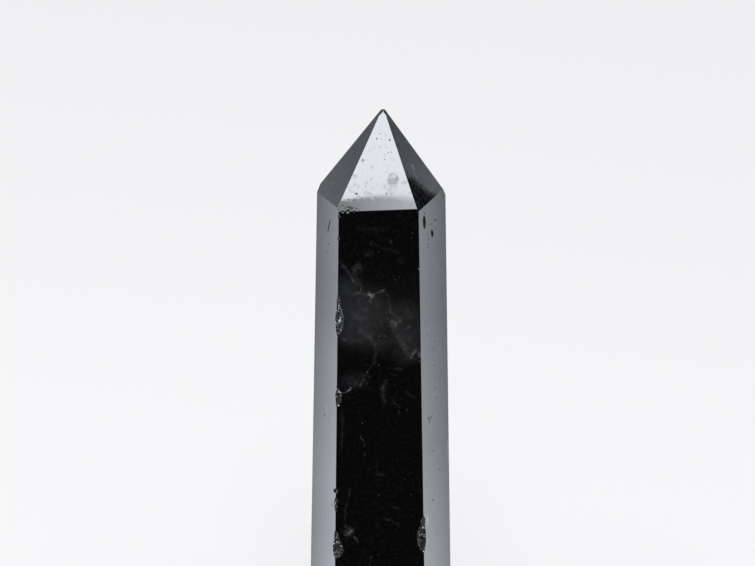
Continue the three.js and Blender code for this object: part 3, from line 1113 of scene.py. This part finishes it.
def wall_glow(name, stops, per_degree, middle, dark=None):
    """A side wall's glow: its strength at heights in millimetres, changed per degree round from a
    middle, and a dark gap in it between two directions."""
    material, tree, glow, (azimuth, height, _) = glow_material(name)
    top = max(level for _, level in stops)
    scale = add(tree, "ShaderNodeValToRGB", {"Fac": math_node("DIVIDE", height, WALL_HEIGHT)})
    marks = scale.color_ramp.elements
    while len(marks) < len(stops):
        marks.new(0.5)
    for mark, (at, level) in zip(marks, stops):
        mark.position = at / WALL_HEIGHT
        mark.color = (*[level / top] * 3, 1.0)
    round_angle = math_node("ABSOLUTE", azimuth)
    lean = times(minus(middle, round_angle), per_degree)
    lean = times(lean, ramp(height, 60.0, 75.0, 1.0, 0.0))
    factor = ramp(lean, -0.4, 0.4, 0.6, 1.4, smooth=False)
    level = times(scale.outputs["Color"], top, factor)
    if dark:
        place = add(tree, "ShaderNodeTexCoord").outputs["Object"]
        shift = minus(noise(place, 0.003, 2.0), 0.5)
        angle = plus(round_angle, times(shift, 1.6))
        before = ramp(angle, dark[0] - 0.5, dark[0] + 0.5, 1.0, 0.0)
        after = ramp(angle, dark[1] - 0.7, dark[1] + 0.5)
        level = times(level, math_node("MAXIMUM", before, after))
    fill(glow, {"Strength": level, "Color": (0.84, 0.91, 1.0, 1.0)})
    return material


def front_glow():
    """The black card lying in front, with a soft grey strip across it."""
    material, _, glow, (_, distance, _) = glow_material("front_card_glow")
    strip = ramp(away_from(182.0, distance), 0.0, 34.0, 0.06, 0.0)
    fill(glow, {"Strength": plus(strip, 0.02)})
    return material


def sphere_place(azimuth, elevation):
    """A point on the key light's ball about the crystal's tip."""
    rise = math.radians(elevation)
    return placed(leaning(azimuth, math.cos(rise), math.sin(rise)) * KEY_RADIUS)


def wall_place(azimuth, height):
    """A point on the ring of side walls."""
    return outward(azimuth) * WALL_RADIUS * MM + Vector((0, 0, height * MM))


def front_place(across, distance):
    """A point on the black card in front."""
    return Vector((across, -distance, 0.2)) * MM


LEFT_STOPS = [
    (0.0, 2.32), (2.0, 2.3), (8.0, 2.22), (14.0, 2.31), (21.0, 2.2), (27.0, 2.08), (34.0, 2.02),
    (40.0, 1.79), (46.0, 1.67), (52.0, 1.77), (56.0, 1.73), (70.0, 1.5), (85.0, 1.22), (88.0, 1.13),
    (91.0, 0.99), (97.0, 0.91), (130.0, 0.88),
]
RIGHT_STOPS = [
    (0.0, 1.94), (2.0, 1.92), (8.0, 1.82), (14.5, 1.72), (21.0, 1.55), (27.0, 1.56), (34.0, 1.49),
    (40.0, 1.4), (46.0, 1.4), (52.0, 1.47), (56.0, 1.48), (70.0, 1.3), (84.0, 1.2), (86.0, 1.1),
    (90.0, 0.84), (94.0, 0.72), (130.0, 0.64),
]


def build_cards():
    """The cards that the polished faces mirror."""
    walls = (0, WALL_HEIGHT)
    left = wall_glow("left_wall_glow", LEFT_STOPS, 0.12, 118.0)
    right = wall_glow("right_wall_glow", RIGHT_STOPS, 0.11, 119.7, dark=(104.0, 114.5))
    card("key_card", sphere_place, (-75, 75), (30, 86), 90, key_glow())
    card("left_card", wall_place, (-170, -60), walls, 66, left)
    card("right_card", wall_place, (60, 170), walls, 66, right)
    card("front_card", front_place, (-60, 60), (12, 310), 4, front_glow())


def build_floor(settings):
    """A round pale floor, matt paper, with nothing on it."""
    bm = bmesh.new()
    bmesh.ops.create_circle(bm, cap_ends=True, segments=96, radius=2.5)
    floor = new_object("floor", as_mesh(bm, "floor"))
    material, tree = node_material("matt_paper")
    colour = (*settings.floor_colour, 1.0)
    paper = {"Base Color": colour, "Roughness": 0.95, "Specular IOR Level": 0.0}
    fill(tree.nodes["Principled BSDF"], paper)
    floor.data.materials.append(material)


# The soft lamps: name, place in metres, width and power in watts. Both point straight down.
SOFT_LAMPS = [
    ("left_overhead", (-0.3, -0.1, 0.55), 0.5, 0.3),
    ("front_overhead", (0.0, -0.22, 0.3), 0.15, 0.2),
]


def build_light(settings):
    """A bright even room, and two soft lamps."""
    world = bpy.data.worlds.new("pale_room")
    world.use_nodes = True
    fill(world.node_tree.nodes["Background"], {"Color": (*settings.sky_colour, 1.0), "Strength": 1.0})
    bpy.context.scene.world = world
    for name, place, size, energy in SOFT_LAMPS:
        lamp = bpy.data.lights.new(name, "AREA")
        lamp.shape = "DISK"
        lamp.size = size
        lamp.energy = energy
        item = new_object(name, lamp)
        item.location = place
        item.visible_glossy = False
    bpy.context.scene.view_settings.view_transform = "Standard"


# What the camera looks at, from the point: right of the axis and below the tip.
AIM_ACROSS = -0.728
AIM_BELOW = 24.16


def build_camera(settings):
    """The camera at the photograph's angle, aimed without any shift."""
    data = bpy.data.cameras.new("camera")
    data.lens = settings.camera_lens
    data.sensor_width = 36.0
    data.clip_start = 0.01
    data.clip_end = 20.0
    camera = new_object("camera", data)
    down = settings.camera_elevation
    back = Vector((0, -math.cos(down), math.sin(down)))
    aim = placed(Vector((AIM_ACROSS, 0.0, -AIM_BELOW)))
    camera.location = aim + back * settings.camera_distance
    camera.rotation_euler = (math.pi / 2 - down, 0.0, 0.0)
    bpy.context.scene.camera = camera


class QUARTZ_OT_stage(bpy.types.Operator):
    """Set up the floor, the light, the cards and the camera"""

    bl_idname = "quartz.stage"
    bl_label = "Studio"
    bl_options = {"REGISTER", "UNDO"}

    def execute(self, context):
        settings = context.scene.quartz_stage
        build_floor(settings)
        build_light(settings)
        build_cards()
        build_camera(settings)
        return {"FINISHED"}


class QUARTZ_PT_panel(bpy.types.Panel):
    """Builds the quartz point and its studio"""

    bl_idname = "QUARTZ_PT_panel"
    bl_label = "Quartz point"
    bl_space_type = "VIEW_3D"
    bl_region_type = "UI"
    bl_category = "Quartz"

    def draw(self, context):
        for operator, settings in (
            (QUARTZ_OT_point, context.scene.quartz_point),
            (QUARTZ_OT_stage, context.scene.quartz_stage),
        ):
            box = self.layout.box()
            box.operator(operator.bl_idname)
            for name in settings.__annotations__:
                box.prop(settings, name)


CLASSES = (QuartzPointSettings, QuartzStageSettings, QUARTZ_OT_point, QUARTZ_OT_stage, QUARTZ_PT_panel)


def register():
    for item in CLASSES:
        bpy.utils.register_class(item)
    bpy.types.Scene.quartz_point = bpy.props.PointerProperty(type=QuartzPointSettings)
    bpy.types.Scene.quartz_stage = bpy.props.PointerProperty(type=QuartzStageSettings)


def unregister():
    del bpy.types.Scene.quartz_stage
    del bpy.types.Scene.quartz_point
    for item in reversed(CLASSES):
        bpy.utils.unregister_class(item)


def main():
    register()
    bpy.ops.quartz.point()
    bpy.ops.quartz.stage()


if __name__ == "__main__":
    main()
